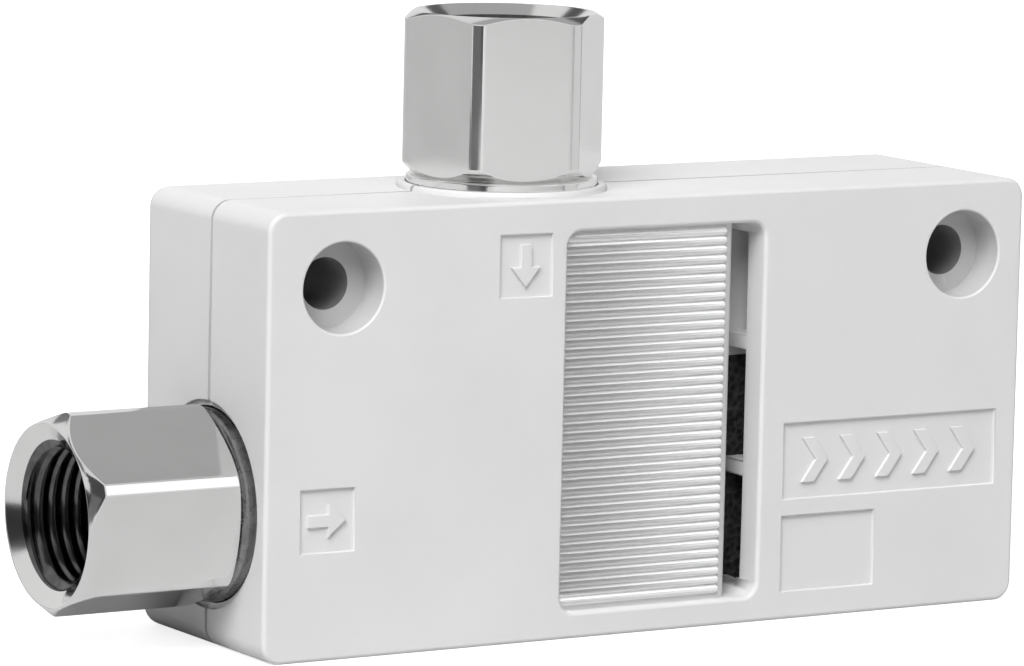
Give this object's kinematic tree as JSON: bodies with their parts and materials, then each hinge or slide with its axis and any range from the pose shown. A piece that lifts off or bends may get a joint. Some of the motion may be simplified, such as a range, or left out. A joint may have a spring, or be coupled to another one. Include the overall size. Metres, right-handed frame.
{
  "type": "vacuum ejector",
  "caption": "Box type vacuum ejector with built-in silencer, female threaded pressure and vacuum ports, ribbed exhaust front and two through mounting holes.",
  "frame": {"origin": "midway between the two mounting holes, on the flat back face that bolts to the machine", "axes": "+X along the row of mounting holes, away from the pressure port; +Y out of the back face, away from the ribbed front; +Z out of the vacuum port"},
  "size_m": [0.0699, 0.0168, 0.0407],
  "materials": {
    "shell": "satin",
    "plated_brass": "polished",
    "brass": "satin",
    "seal": "matte",
    "foam": "matte"
  },
  "bodies": {
    "root": {"front_shell": "shell", "rear_shell": "shell", "pressure_port_fitting": "plated_brass", "vacuum_port_fitting": "plated_brass", "pressure_port_o_ring": "seal", "vacuum_port_o_ring": "seal", "nozzle": "brass", "nozzle_o_ring": "seal", "diffuser": "brass", "diffuser_o_ring": "seal", "silencer_front_pad": "foam", "silencer_rear_pad": "foam", "silencer_end_pad": "foam"}
  },
  "joints": []
}
